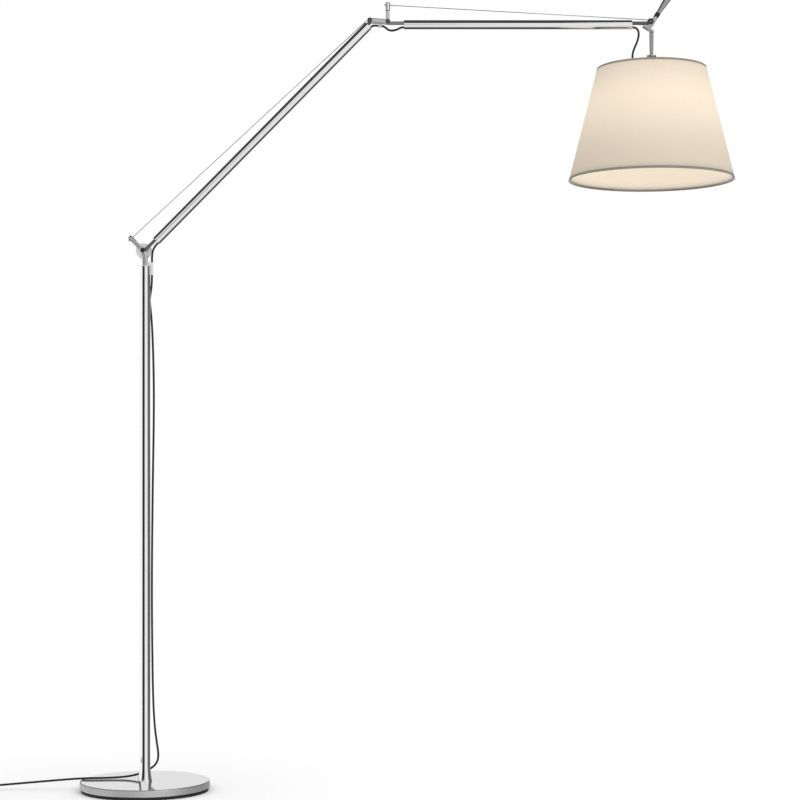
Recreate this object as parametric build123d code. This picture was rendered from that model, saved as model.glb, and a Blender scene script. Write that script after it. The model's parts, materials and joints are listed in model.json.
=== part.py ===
from build123d import *
from math import asin, atan2, cos, degrees, hypot, pi, radians, sin, tan
import os

# An adjustable arm floor lamp, in millimetres.
# X runs along the arms, Y away from the viewer and Z up. The origin is under the centre of the base.

# Base
base_diameter = 330
base_height = 26
base_edge_radius = 3
cover_wall = 2
cover_lift = 9.5
pad_thickness = 8
pad_inset = 4
plate_clearance = 0.5
bolt_diameter = 10
bolt_head = 17
bolt_head_height = 6.4
washer_diameter = 24
washer_thickness = 2
bolt_recess_depth = 10

# Post and its swivel
post_diameter = 26.5
post_wall = 1.5
post_top = 1336
foot_diameter = 36
foot_height = 46
insert_length = 40
bush_length = 40
bush_flange = 1.5
spindle_diameter = 9
spindle_below_bush = 5
spindle_grip = 14

# Arms: their lengths are from pivot to pivot
pivot_rise = 40.7
pivot_set_back = 4.8
lower_arm_length = 823
lower_arm_angle = 45.4
link_length = 46.1
link_angle = -4.35
upper_arm_length = 669
upper_arm_angle = 0
arm_diameter = 23
arm_wall = 1.3
arm_top = 4.5
root_gap = 41
lower_tip_gap = 12
upper_tip_gap = 47
plug_length = 25

# Pivots
pin_diameter = 6
running_clearance = 0.05
side_gap = 0.3
tang_width = 8.8
tang_top = 0.8
tang_bottom = -7.2
cheek_thickness = 3.8
eye_radius = 6.5
cap_diameter = 11.6
head_cap_diameter = 15
cap_height = 3
cap_edge_radius = 1
cap_socket = 5
cap_socket_depth = 1.6
plate_edge_radius = 1
thread_reach = 2
knob_diameter = 42
knob_thickness = 8
knob_edge_radius = 2
knob_thread = 5
fork_width = 13.5
fork_bar_width = 10.5
fork_clear = 14
fork_corner_radius = 3
link_bar_width = 11

# Levers, wires, rollers and springs
lever_diameter = 11
lever_length = 50
lever_seat = 28
lever_tongue = 8
lever_end_radius = 2.5
wire_height = 43
wire_diameter = 1.8
wire_hole = 3
wire_groove_clearance = 0.1
ferrule_diameter = 5
ferrule_length = 5
roller_wire_radius = 5.2
roller_diameter = 12.8
roller_width = 4
spring_diameter = 9
spring_wire = 1.6
spring_pitch = 8
spring_turns = 24
spring_seat_gap = 0.1
spring_plug_length = 14
spring_flange = 3

# Cord
cord_diameter = 5.5
cord_hole_clearance = 0.15
cord_above_base = 0.45
grommet_wall = 0.7
grommet_length = 4
grommet_clearance = 0.1
clip_wall = 0.85
clip_clearance = 0.5
clip_length = 32
clip_below_post = 22
clip_tab = 8
spacer_length = 16
spacer_height = 8
link_clip_along = 27
link_clip_drop = 11.4
link_clip_length = 8

# Head
handle_tilt = 33
handle_neck = 10.5
handle_swell = 20.5
handle_start = 30
handle_aside = 5
handle_end = 105
handle_end_radius = 6
handle_stud = 5
ring_diameter = 12.8
ring_length = 10
head_eye_radius = 8
head_spine_width = 12
head_core_start = 9
head_core_end = 15
head_bar_from_pivot = 17.9
head_bar_thickness = 7
head_bar_left = -9.8
head_bar_right = 18.8
head_bridge_left = 6
stem_offset = 3
stem_top_drop = 22
stem_bottom_drop = 86
stem_top_diameter = 11
stem_bottom_diameter = 9
flange_diameter = 24
flange_thickness = 4

# Lampholder, bulb and shade, measured down from the flange
cup_diameter = 44
cup_shoulder = 22
cup_height = 62
cup_wall = 1.6
cord_entry_drop = 32
holder_diameter = 38
holder_top_drop = 10
holder_below_cup = 8
nipple_diameter = 10
socket_bore = 27.6
socket_depth = 32
carrier_plate = 2
carrier_rim = 8
carrier_arm = 3.2
carrier_arms = 3
carrier_first_arm = 30
nut_rim = 6
bulb_cap_diameter = 26.4
bulb_cap_length = 27
bulb_contact = 10
bulb_diameter = 60
bulb_neck = 27
bulb_centre_drop = 47
bulb_wall = 1
shade_top_diameter = 276
shade_bottom_diameter = 420
shade_height = 285
shade_drop = 28
shade_wall = 1.2
shade_ring_wire = 4
shade_ring_inset = 4
shade_ring_gap = 0.25

# Foot switch and plug, on the floor beside the base
switch_at = (-418, -72)
switch_width = 38
switch_length = 70
switch_split = 9
switch_height = 20
switch_wall = 2
switch_corner_radius = 8
button_diameter = 22
button_flange = 26
button_flange_thickness = 2
button_proud = 4
switch_spring_diameter = 13
switch_spring_wire = 1
switch_spring_turns = 4
relief_length = 22
relief_diameter = 10.5
relief_tip_diameter = 8.4
coil_at = (-449, -167)
coil_radius = 31
coil_width = 17
coil_height = 13.6
coil_edge_radius = 4
plug_at = (-480, -98)
plug_width = 35
plug_length_y = 28
plug_height = 16
plug_lift = 0.2
plug_edge_radius = 3
plug_pin_diameter = 4
plug_pin_length = 19
plug_pin_spacing = 18.6
plug_pin_root = 2

# Worked out from the sizes above
base_radius = base_diameter / 2
post_radius = post_diameter / 2
post_bore = post_radius - post_wall
bolt_hole = bolt_diameter / 2 + side_gap
pin_radius = pin_diameter / 2
pin_hole = pin_radius + running_clearance
arm_radius = arm_diameter / 2
arm_drop = arm_radius - arm_top
arm_bore = arm_radius - arm_wall
cheek_inner = tang_width / 2 + side_gap
cheek_outer = cheek_inner + cheek_thickness
roller_slot = roller_width / 2 + side_gap
cord_radius = cord_diameter / 2
over_base = base_height + cord_radius + cord_above_base
cord_hole = cord_radius + cord_hole_clearance
grommet_radius = cord_hole + grommet_wall
cord_drop = grommet_radius + grommet_clearance - arm_drop - arm_bore
clip_radius = cord_hole + clip_wall
clip_beside_post = post_radius + clip_radius + clip_clearance
fork_bottom = post_top + bush_flange + side_gap


def arm_point(pivot, angle, along, up=0):
    """The point that lies so far along an arm from its pivot, and so far up from its pivot line."""
    turn = radians(angle)
    return pivot + Vector(along * cos(turn) - up * sin(turn), 0, along * sin(turn) + up * cos(turn))


lower_pivot_at = Vector(-pivot_set_back, 0, post_top + pivot_rise)
elbow_at = arm_point(lower_pivot_at, lower_arm_angle, lower_arm_length)
upper_pivot_at = arm_point(elbow_at, link_angle, link_length)
head_at = arm_point(upper_pivot_at, upper_arm_angle, upper_arm_length)
lower_lever_angle = lower_arm_angle + 90
upper_lever_angle = upper_arm_angle + 90
lower_tube_end = lower_arm_length - lower_tip_gap
upper_tube_end = upper_arm_length - upper_tip_gap


def along_x(radius, length):
    """A cylinder along X, centred on the origin."""
    return Rot(0, 90, 0) * Cylinder(radius, length)


def along_y(radius, near, far):
    """A cylinder along Y between two places on it."""
    return Pos(0, (near + far) / 2, 0) * Rot(90, 0, 0) * Cylinder(radius, far - near)


def upright(radius, bottom, top):
    """A cylinder along Z between two heights."""
    return Pos(0, 0, (bottom + top) / 2) * Cylinder(radius, top - bottom)


def block(width, depth, bottom, top):
    """A box about the Z axis between two heights."""
    return Pos(0, 0, (bottom + top) / 2) * Box(width, depth, top - bottom)


def plate(outline, near, far):
    """A flat piece with an outline in the XZ plane, between two places on Y."""
    return Pos(0, (near + far) / 2, 0) * extrude(Plane.XZ * outline, amount=(far - near) / 2, both=True)


def pair(outline, inner, outer):
    """Two like plates, one on each side of the arm's middle plane."""
    return plate(outline, inner, outer) + plate(outline, -outer, -inner)


def rounded(piece):
    """A flat piece with the edges of its two outer faces rounded."""
    faces = piece.faces().sort_by(Axis.Y)
    return fillet(faces[0].edges() + faces[-1].edges(), plate_edge_radius)


def bar(start, end, width):
    """The outline of a bar with round ends between two points of the XZ plane."""
    run = end - start
    middle = (start + end) * 0.5
    slot = Rot(0, 0, degrees(atan2(run.Z, run.X))) * SlotCenterToCenter(run.length, width)
    return Pos(middle.X, middle.Z) * slot


def disc(centre, radius):
    """A round outline about a point of the XZ plane."""
    return Pos(centre.X, centre.Z) * Circle(radius)


def strip(origin, angle, start, end, width, aside=0):
    """A square-ended strip that leaves a point of the XZ plane at an angle."""
    shape = Pos((start + end) / 2, aside) * Rectangle(end - start, width)
    return Pos(origin.X, origin.Z) * Rot(0, 0, angle) * shape


def lathe(outline):
    """A piece turned about Z from its half outline, drawn as radius and height."""
    return revolve(Plane.XZ * make_face(outline), Axis.Z)


def group(*pieces):
    """Like pieces that share a node, each one a solid of its own."""
    return Compound([solid for piece in pieces for solid in piece.solids()])


def coil_spring(outer_diameter, wire, pitch, turns):
    """A helical spring that stands on Z = 0."""
    path = Pos(0, 0, wire / 2) * Helix(pitch, pitch * turns, (outer_diameter - wire) / 2)
    section = Plane(origin=path @ 0, z_dir=path % 0) * Circle(wire / 2)
    return sweep(section, path=path, is_frenet=True)


def cord_tube(name, points, diameter=cord_diameter):
    """A cord along a route of straight runs, with the largest even arcs that they allow."""
    points = [Vector(*point) for point in points]
    radii = []
    for before, corner, after in zip(points, points[1:], points[2:]):
        run_in = corner - before
        run_out = after - corner
        half_turn = radians(run_in.get_angle(run_out)) / 2
        radii.append(0.45 * min(run_in.length, run_out.length) / tan(half_turn))
    path = FilletPolyline(*points, radius=radii)
    section = Plane(origin=path @ 0, z_dir=path % 0) * Circle(diameter / 2)
    tube = sweep(section, path=path)
    expected = pi * diameter**2 / 4 * path.length
    print(name, "radii", [round(radius) for radius in radii])
    print(name, "length", round(path.length, 1), "volume ratio", round(tube.volume / expected, 5))
    return tube


def base_parts():
    """The weighted base: a steel plate under a spun cover, on a pad, bolted to the post."""
    cover = fillet(
        upright(base_radius, cover_lift, base_height).edges().group_by(Axis.Z)[-1], base_edge_radius
    )
    plate_top = base_height - cover_wall
    cover -= upright(base_radius - cover_wall, 0, plate_top)
    cover -= upright(bolt_hole, 0, base_height)
    recess_top = pad_thickness + bolt_recess_depth
    recess = upright(washer_diameter / 2 + side_gap, pad_thickness, recess_top)
    steel = upright(base_radius - cover_wall - plate_clearance, pad_thickness, plate_top)
    steel -= recess + upright(bolt_hole, pad_thickness, plate_top)
    washer = upright(washer_diameter / 2, recess_top - washer_thickness, recess_top)
    washer -= upright(bolt_hole, 0, recess_top)
    head_top = recess_top - washer_thickness
    hexagon = RegularPolygon(bolt_head / 2, 6, major_radius=False)
    bolt = Pos(0, 0, head_top - bolt_head_height) * extrude(hexagon, amount=bolt_head_height)
    bolt += upright(bolt_diameter / 2, head_top, base_height + insert_length - thread_reach)
    return {
        "base_pad": upright(base_radius - pad_inset, 0, pad_thickness),
        "base_plate": steel,
        "base_cover": cover,
        "base_fasteners": group(bolt, washer),
    }


def post_parts():
    """The post with its flared foot, the insert that the base bolt holds and the swivel bush."""
    foot_radius = foot_diameter / 2
    foot_top = base_height + foot_height
    outline = Line((post_bore, post_top), (post_radius, post_top))
    outline += Line((post_radius, post_top), (post_radius, foot_top))
    outline += TangentArc((post_radius, foot_top), (foot_radius, base_height), tangent=(0, -1))
    outline += Polyline((foot_radius, base_height), (post_bore, base_height), (post_bore, post_top))
    insert = upright(post_bore - running_clearance, base_height, base_height + insert_length)
    insert -= upright(bolt_diameter / 2 + running_clearance, 0, base_height + insert_length)
    bush = upright(post_bore - running_clearance, post_top - bush_length, post_top)
    bush += upright(post_radius - side_gap, post_top, post_top + bush_flange)
    bush -= upright(spindle_diameter / 2 + running_clearance, 0, post_top + bush_flange)
    return {"post": lathe(outline), "post_insert": insert, "post_bush": bush}


def pivot_screw(cap, shank_end):
    """A black pivot screw along Y: its round head is on the viewer's side."""
    head = along_y(cap / 2, -cheek_outer - cap_height, -cheek_outer)
    head = fillet(head.edges().group_by(Axis.Y)[0], cap_edge_radius)
    near = -cheek_outer - cap_height
    head -= plate(RegularPolygon(cap_socket / 2, 6, major_radius=False), near, near + cap_socket_depth)
    return head + along_y(pin_radius, -cheek_outer, shank_end)


def cap_nut(cap):
    """The blind nut on a pivot screw's far end."""
    nut = along_y(cap / 2, cheek_outer, cheek_outer + cap_height)
    nut = fillet(nut.edges().group_by(Axis.Y)[-1], cap_edge_radius)
    return nut - along_y(pin_hole, cheek_outer, cheek_outer + thread_reach + side_gap / 2)


def lever():
    """A lever rod that stands along Z from its pivot, with the hole for its wire."""
    tongue_width = 2 * (cheek_inner - running_clearance)
    rod = upright(lever_diameter / 2, lever_seat, lever_length)
    rod = fillet(rod.edges().group_by(Axis.Z)[-1], lever_end_radius)
    rod += block(lever_diameter, tongue_width, lever_seat - lever_tongue, lever_seat)
    return rod - Pos(0, 0, wire_height) * along_x(wire_hole / 2, lever_diameter * 2)


def swivel_parts():
    """What turns on the post: the fork, its spindle, its lever, the lower pivot and the cord clip."""
    fork_top = lower_pivot_at.Z - fork_clear
    neck = block(fork_width, 2 * cheek_outer, fork_bottom, fork_top)
    neck = fillet(neck.edges().filter_by(Axis.Z), fork_corner_radius)
    neck_foot = Vector(0, 0, fork_top - fork_bar_width / 2)
    outline = bar(neck_foot, lower_pivot_at, fork_bar_width)
    outline += strip(lower_pivot_at, lower_lever_angle, 0, lever_seat, lever_diameter)
    fork = neck + rounded(pair(outline, cheek_inner, cheek_outer))
    fork -= Pos(lower_pivot_at) * along_y(pin_hole, -cheek_outer, cheek_outer)
    spindle_top = fork_bottom + spindle_grip
    fork -= upright(spindle_diameter / 2 + running_clearance, fork_bottom, spindle_top)
    spindle_bottom = post_top - bush_length - spindle_below_bush

    clip_bottom = post_top - clip_below_post
    clip_top = clip_bottom + clip_length
    sleeve = Pos(clip_beside_post, 0, 0) * upright(clip_radius, clip_bottom, clip_top)
    tab_end = fork_width / 2
    tab = Pos((tab_end + clip_beside_post) / 2, 0, 0) * block(
        clip_beside_post - tab_end, clip_tab, fork_bottom + side_gap, clip_top
    )
    clip = sleeve + tab - Pos(clip_beside_post, 0, 0) * upright(cord_hole, clip_bottom, clip_top)

    knob_near = cheek_outer + side_gap
    knob = along_y(knob_diameter / 2, knob_near, knob_near + knob_thickness)
    knob = fillet(knob.edges(), knob_edge_radius)
    knob -= along_y(pin_hole, knob_near, knob_near + knob_thread + side_gap)
    return {
        "swivel_fork": fork,
        "swivel_spindle": upright(spindle_diameter / 2, spindle_bottom, spindle_top),
        "lower_lever": Pos(lower_pivot_at) * Rot(0, -lower_arm_angle, 0) * lever(),
        "lower_pivot": Pos(lower_pivot_at) * pivot_screw(cap_diameter, knob_near + knob_thread),
        "cord_clip": clip,
        "tension_knob": Pos(lower_pivot_at) * knob,
    }


def plug_body(start, end):
    """A plug in an arm's tube, open along its lower side for the cord."""
    shape = Pos((start + end) / 2, 0, -arm_drop) * along_x(arm_bore - running_clearance, end - start)
    channel_top = cord_drop + grommet_radius + side_gap
    below = 2 * arm_radius
    channel = Box(end - start, arm_diameter, below)
    return shape - Pos((start + end) / 2, 0, channel_top - below / 2) * channel


def tang_outline(eye_at, other_end):
    """A tang from its eye to a tube, on the upper half of the tube."""
    middle = (tang_top + tang_bottom) / 2
    strip_outline = Pos((eye_at + other_end) / 2, middle) * Rectangle(
        abs(other_end - eye_at), tang_top - tang_bottom
    )
    return strip_outline + Pos(eye_at, 0) * Circle(eye_radius)


def wire_piece(length, spring_end):
    """A balance wire: from its stop behind the lever, round the roller and back to its spring."""
    reach = hypot(length, wire_height)
    slope = atan2(wire_height, length) - asin(roller_wire_radius / reach)
    stop = lever_diameter / 2 + ferrule_length + wire_groove_clearance * 2
    centre = Vector(length, 0, 0)
    start = Vector(-stop * cos(slope), 0, wire_height + stop * sin(slope))
    touch = centre + Vector(sin(slope), 0, cos(slope)) * roller_wire_radius
    round_end = centre + Vector(cos(slope / 2), 0, -sin(slope / 2)) * roller_wire_radius
    leave = centre - Vector(0, 0, roller_wire_radius)
    finish = Vector(spring_end, 0, -roller_wire_radius)
    path = Line(start, touch) + ThreePointArc(touch, round_end, leave) + Line(leave, finish)
    section = Plane(origin=start, z_dir=touch - start) * Circle(wire_diameter / 2)
    wire = sweep(section, path=path)
    ferrule = Pos(start + (touch - start).normalized() * (ferrule_length / 2))
    wire += ferrule * Rot(0, degrees(slope), 0) * along_x(ferrule_diameter / 2, ferrule_length)
    spring_bore = spring_diameter / 2 - spring_wire
    seat = spring_end + spring_seat_gap
    wire += Pos(spring_end - spring_plug_length / 2, 0, -roller_wire_radius) * along_x(
        spring_bore - side_gap, spring_plug_length
    )
    flange = along_x(spring_diameter / 2, spring_flange)
    wire += Pos(seat + spring_flange / 2, 0, -roller_wire_radius) * flange
    wire += Pos(spring_end, 0, -roller_wire_radius) * along_x(spring_bore - side_gap, spring_flange)
    return wire


def arm_parts(prefix, pivot, angle, length, tip_gap):
    """One balanced arm: tube, plugs, spring, wire, roller, and the cord inside it."""
    frame = Pos(pivot) * Rot(0, -angle, 0)
    tube_end = length - tip_gap
    tube_middle = (root_gap + tube_end) / 2
    tube_length = tube_end - root_gap
    tube = along_x(arm_radius, tube_length) - along_x(arm_bore, tube_length)
    tube = Pos(tube_middle, 0, -arm_drop) * tube

    root_end = root_gap + plug_length
    spring_bore = spring_diameter / 2 - spring_wire
    root = plug_body(root_gap, root_end)
    root += rounded(plate(tang_outline(0, root_gap + tang_width), -tang_width / 2, tang_width / 2))
    root += Pos(root_end + spring_plug_length / 2, 0, -roller_wire_radius) * along_x(
        spring_bore - side_gap, spring_plug_length
    )
    root -= along_y(pin_hole, -tang_width, tang_width)

    tip_start = tube_end - plug_length
    tip = plug_body(tip_start, tube_end)
    tip += rounded(plate(tang_outline(length, tube_end - tang_width), -tang_width / 2, tang_width / 2))
    slot_end = length + arm_radius
    slot = Pos((tip_start + slot_end) / 2, 0, tang_bottom + arm_radius - side_gap) * Box(
        slot_end - tip_start, 2 * roller_slot, arm_diameter
    )
    tip -= slot
    tip -= Pos(length, 0, 0) * along_y(pin_hole, -tang_width, tang_width)

    groove = wire_diameter / 2 + wire_groove_clearance
    roller = along_y(roller_diameter / 2, -roller_width / 2, roller_width / 2)
    roller -= Rot(90, 0, 0) * Torus(roller_wire_radius, groove)
    roller -= along_y(roller_diameter, -groove, groove) - along_y(roller_wire_radius, -groove, groove)
    roller -= along_y(pin_hole, -roller_width, roller_width)

    spring_start = root_end + spring_seat_gap
    spring_end = spring_start + spring_pitch * spring_turns + spring_wire
    spring = coil_spring(spring_diameter, spring_wire, spring_pitch, spring_turns)
    spring = Pos(spring_start, 0, -roller_wire_radius) * Rot(0, 90, 0) * spring

    ring = along_x(grommet_radius, grommet_length) - along_x(cord_hole, grommet_length)
    grommets = [Pos(at, 0, cord_drop) * ring
                for at in (root_gap + grommet_length / 2, tube_end - grommet_length / 2)]
    return {
        prefix + "_arm_tube": frame * tube,
        prefix + "_root_plug": frame * root,
        prefix + "_tip_plug": frame * tip,
        prefix + "_roller": frame * Pos(length, 0, 0) * roller,
        prefix + "_spring": frame * spring,
        prefix + "_wire": frame * wire_piece(length, spring_end),
        prefix + "_arm_cord": frame * Pos(tube_middle, 0, cord_drop) * along_x(cord_radius, tube_length),
        prefix + "_grommets": group(*[frame * grommet for grommet in grommets]),
    }


def elbow_parts():
    """The link between the arms: two plates, their spacer with its cord clip, and the upper lever."""
    outline = bar(elbow_at, upper_pivot_at, link_bar_width)
    outline += disc(elbow_at, eye_radius) + disc(upper_pivot_at, eye_radius)
    outline += strip(upper_pivot_at, upper_lever_angle, 0, lever_seat, lever_diameter)
    holes = [Pos(at) * along_y(pin_hole, -cheek_outer, cheek_outer) for at in (elbow_at, upper_pivot_at)]
    plates = rounded(pair(outline, cheek_inner, cheek_outer)) - holes

    frame = Pos(elbow_at) * Rot(0, -link_angle, 0)
    spacer_width = 2 * (cheek_inner - running_clearance)
    spacer = Pos(link_length / 2, 0, 0) * Box(spacer_length, spacer_width, spacer_height)
    clip_frame = Pos(link_clip_along, 0, -link_clip_drop)
    spacer += clip_frame * along_x(clip_radius, link_clip_length)
    spacer += Pos(link_clip_along, 0, -link_clip_drop / 2) * Box(
        link_clip_length, cord_radius, link_clip_drop
    )
    spacer -= clip_frame * along_x(cord_hole, link_clip_length)
    screws = []
    for at in (elbow_at, upper_pivot_at):
        screws.append(Pos(at) * pivot_screw(cap_diameter, cheek_outer + thread_reach))
        screws.append(Pos(at) * cap_nut(cap_diameter))
    return {
        "elbow_plates": group(plates),
        "elbow_spacer": frame * spacer,
        "upper_lever": Pos(upper_pivot_at) * Rot(0, -upper_arm_angle, 0) * lever(),
        "elbow_pivots": group(*screws),
    }


def head_parts():
    """The tilting head: the fork with its stem, and the handle that aims it."""
    zero = Vector(0, 0, 0)
    up_handle = 90 - handle_tilt
    bar_bottom = head_bar_from_pivot + head_bar_thickness / 2
    outline = disc(zero, head_eye_radius)
    outline += strip(zero, up_handle, -bar_bottom, head_core_end, head_spine_width, -handle_aside)
    across = -handle_tilt
    outline += strip(zero, across, head_bar_left, head_bar_right, head_bar_thickness, -head_bar_from_pivot)
    fork = pair(outline, cheek_inner, cheek_outer)
    core = strip(zero, up_handle, head_core_start, head_core_end, head_spine_width, -handle_aside)
    bridge = strip(zero, across, head_bridge_left, head_bar_right, head_bar_thickness, -head_bar_from_pivot)
    fork = rounded(fork + plate(core + bridge, -cheek_outer, cheek_outer))
    fork -= along_y(pin_hole, -cheek_outer, cheek_outer)

    turned = Rot(0, handle_tilt, 0) * Pos(handle_aside, 0, 0)
    neck_end = handle_start - ring_length
    fork += turned * upright(handle_neck / 2, head_core_end, neck_end)
    fork -= turned * upright(handle_stud / 2 + running_clearance, head_core_start, neck_end)
    stem_length = stem_bottom_drop - stem_top_drop
    stem_middle = -(stem_top_drop + stem_bottom_drop) / 2
    stem = Pos(0, 0, stem_middle) * Cone(stem_bottom_diameter / 2, stem_top_diameter / 2, stem_length)
    stem += upright(flange_diameter / 2, -stem_bottom_drop - flange_thickness, -stem_bottom_drop)
    fork += Pos(stem_offset, 0, 0) * stem

    ring = upright(ring_diameter / 2, neck_end, handle_start)
    ring -= upright(handle_stud / 2 + running_clearance, neck_end, handle_start)
    neck_radius = handle_neck / 2
    swell_radius = handle_swell / 2
    middle_at = (handle_start + handle_end) / 2
    middle_radius = (neck_radius + swell_radius) / 2 + side_gap
    grip_outline = Line((0, handle_start), (neck_radius, handle_start))
    grip_outline += ThreePointArc(
        (neck_radius, handle_start), (middle_radius, middle_at), (swell_radius, handle_end)
    )
    grip_outline += Polyline((swell_radius, handle_end), (0, handle_end), (0, handle_start))
    grip = lathe(grip_outline)
    handle = fillet(grip.edges().group_by(Axis.Z)[-1], handle_end_radius)
    handle += upright(handle_stud / 2, head_core_start, handle_start)
    screw = group(pivot_screw(head_cap_diameter, cheek_outer + thread_reach), cap_nut(head_cap_diameter))
    frame = Pos(head_at)
    return {
        "head_fork": frame * fork,
        "handle_ring": frame * turned * ring,
        "handle": frame * turned * handle,
        "head_pivot": frame * screw,
    }


def shade_axis_at():
    """The point under the stem's flange, from which the shade's parts are measured down."""
    return head_at + Vector(stem_offset, 0, -stem_bottom_drop - flange_thickness)


def lampholder_parts():
    """The cup under the stem, with the lampholder and the bulb in it."""
    frame = Pos(shade_axis_at())
    cup_radius = cup_diameter / 2
    cup_outline = Polyline(
        (0, 0), (flange_diameter / 2, 0), (cup_radius, -cup_shoulder), (cup_radius, -cup_height),
        (cup_radius - cup_wall, -cup_height), (cup_radius - cup_wall, -cup_shoulder - cup_wall / 2),
        (flange_diameter / 2 - cup_wall / 2, -cup_wall), (0, -cup_wall), (0, 0),
    )
    cup = lathe(cup_outline)
    cup -= Pos(-cup_radius, 0, -cord_entry_drop) * along_x(cord_hole, 4 * cup_wall)
    holder_bottom = -cup_height - holder_below_cup
    holder = upright(holder_diameter / 2, holder_bottom, -holder_top_drop - cup_shoulder / 2)
    holder += upright(nipple_diameter / 2, -holder_top_drop - cup_shoulder / 2, -cup_wall)
    holder -= upright(socket_bore / 2, holder_bottom, holder_bottom + socket_depth)

    cap_bottom = holder_bottom - side_gap
    cap_top = cap_bottom + bulb_cap_length
    cap = upright(bulb_cap_diameter / 2, cap_bottom, cap_top)
    cap += upright(bulb_contact / 2, cap_top, holder_bottom + socket_depth)
    bulb_radius = bulb_diameter / 2
    centre = cap_bottom - bulb_centre_drop

    def envelope(inset):
        """The bulb's round outline, drawn in by the glass's wall."""
        size = bulb_radius - inset
        neck = bulb_neck / 2 - inset
        shoulder = (size * cos(pi / 6), centre + size * sin(pi / 6))
        outline = Polyline((0, centre - size), (0, cap_bottom), (neck, cap_bottom), shoulder)
        return lathe(outline + ThreePointArc(shoulder, (size, centre), (0, centre - size)))

    return {
        "lampholder_cup": frame * cup,
        "lampholder": frame * holder,
        "bulb_cap": frame * cap,
        "bulb": frame * (envelope(0) - envelope(bulb_wall)),
    }


def shade_parts():
    """The fabric shade, its bottom ring, and the carrier that hangs it on the lampholder."""
    frame = Pos(shade_axis_at())
    top_radius = shade_top_diameter / 2
    bottom_radius = shade_bottom_diameter / 2
    spread = (bottom_radius - top_radius) / shade_height
    shade_bottom = -shade_drop - shade_height
    middle = Pos(0, 0, -shade_drop - shade_height / 2)
    fabric = middle * Cone(bottom_radius, top_radius, shade_height)
    fabric -= middle * Cone(bottom_radius - shade_wall, top_radius - shade_wall, shade_height)
    wire = shade_ring_wire / 2
    inside = shade_wall + shade_ring_gap + wire
    top_ring_radius = top_radius + spread * (shade_ring_inset - wire) - inside
    bottom_ring_radius = bottom_radius - spread * (shade_ring_inset + wire) - inside
    top_ring_at = -shade_drop - shade_ring_inset
    bottom_ring = Pos(0, 0, shade_bottom + shade_ring_inset) * Torus(bottom_ring_radius, wire)

    carrier_bore = holder_diameter / 2 + running_clearance
    plate_bottom = -cup_height - carrier_plate
    rim = carrier_bore + carrier_rim
    carrier = upright(rim, plate_bottom, -cup_height) - upright(carrier_bore, plate_bottom, -cup_height)
    arm_start = Vector(rim - wire, 0, plate_bottom + carrier_plate / 2)
    arm_end = Vector(top_ring_radius, 0, top_ring_at)
    run = arm_end - arm_start
    arm = Cylinder(carrier_arm / 2, run.length, align=(Align.CENTER, Align.CENTER, Align.MIN))
    arm = Pos(arm_start) * Rot(0, 90 - degrees(atan2(run.Z, run.X)), 0) * arm
    for turn in range(carrier_arms):
        carrier += Rot(0, 0, carrier_first_arm + 360 * turn / carrier_arms) * arm
    carrier += Pos(0, 0, top_ring_at) * Torus(top_ring_radius, wire)
    nut = upright(carrier_bore + nut_rim, -cup_height - holder_below_cup, plate_bottom - wire)
    nut -= upright(carrier_bore, -cup_height - holder_below_cup, plate_bottom)
    return {
        "shade": frame * fabric,
        "shade_bottom_ring": frame * bottom_ring,
        "shade_carrier": frame * carrier,
        "carrier_nut": frame * nut,
    }


def joint_cords():
    """The cord's loops at the joints, from tube end to clip and on to the next tube."""
    lower_exit = arm_point(lower_pivot_at, lower_arm_angle, root_gap, cord_drop)
    clip_bottom = post_top - clip_below_post
    clip_top = clip_bottom + clip_length
    lower_loop = [
        lower_exit,
        arm_point(lower_pivot_at, lower_arm_angle, root_gap - 15, cord_drop),
        (clip_beside_post + 0.7, 0, clip_top + 24),
        (clip_beside_post, 0, clip_top + 7),
        (clip_beside_post, 0, clip_bottom),
    ]
    tip_exit = arm_point(lower_pivot_at, lower_arm_angle, lower_tube_end, cord_drop)
    clip_end = arm_point(elbow_at, link_angle, link_clip_along + link_clip_length / 2, -link_clip_drop)
    clip_lead = arm_point(elbow_at, link_angle, link_clip_along - 14, -link_clip_drop)
    clip_follow = arm_point(elbow_at, link_angle, link_clip_along + 11, -link_clip_drop)
    elbow_in = [
        tip_exit,
        arm_point(lower_pivot_at, lower_arm_angle, lower_tube_end + 6.5, cord_drop),
        clip_lead,
        clip_end,
    ]
    upper_entry = arm_point(upper_pivot_at, upper_arm_angle, root_gap, cord_drop)
    elbow_out = [
        clip_end,
        clip_follow,
        clip_follow + Vector(12, 0, -12),
        upper_entry + Vector(-19, 0, -7),
        upper_entry + Vector(-8, 0, 0),
        upper_entry,
    ]
    upper_exit = arm_point(upper_pivot_at, upper_arm_angle, upper_tube_end, cord_drop)
    entry = shade_axis_at() + Vector(-holder_diameter / 2 - side_gap, 0, -cord_entry_drop)
    head_loop = [
        upper_exit,
        upper_exit + Vector(12, 0, 0),
        upper_exit + Vector(19, 0, -15),
        upper_exit + Vector(14.5, 0, -36),
        upper_exit + Vector(4, 0, -58),
        upper_exit + Vector(0.5, 0, -78),
        entry + Vector(-23, 0, 9),
        entry + Vector(-12, 0, 0),
        entry,
    ]
    return {
        "lower_joint_cord": cord_tube("lower_joint_cord", lower_loop),
        "elbow_cord_in": cord_tube("elbow_cord_in", elbow_in),
        "elbow_cord_out": cord_tube("elbow_cord_out", elbow_out),
        "head_cord": cord_tube("head_cord", head_loop),
    }


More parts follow.
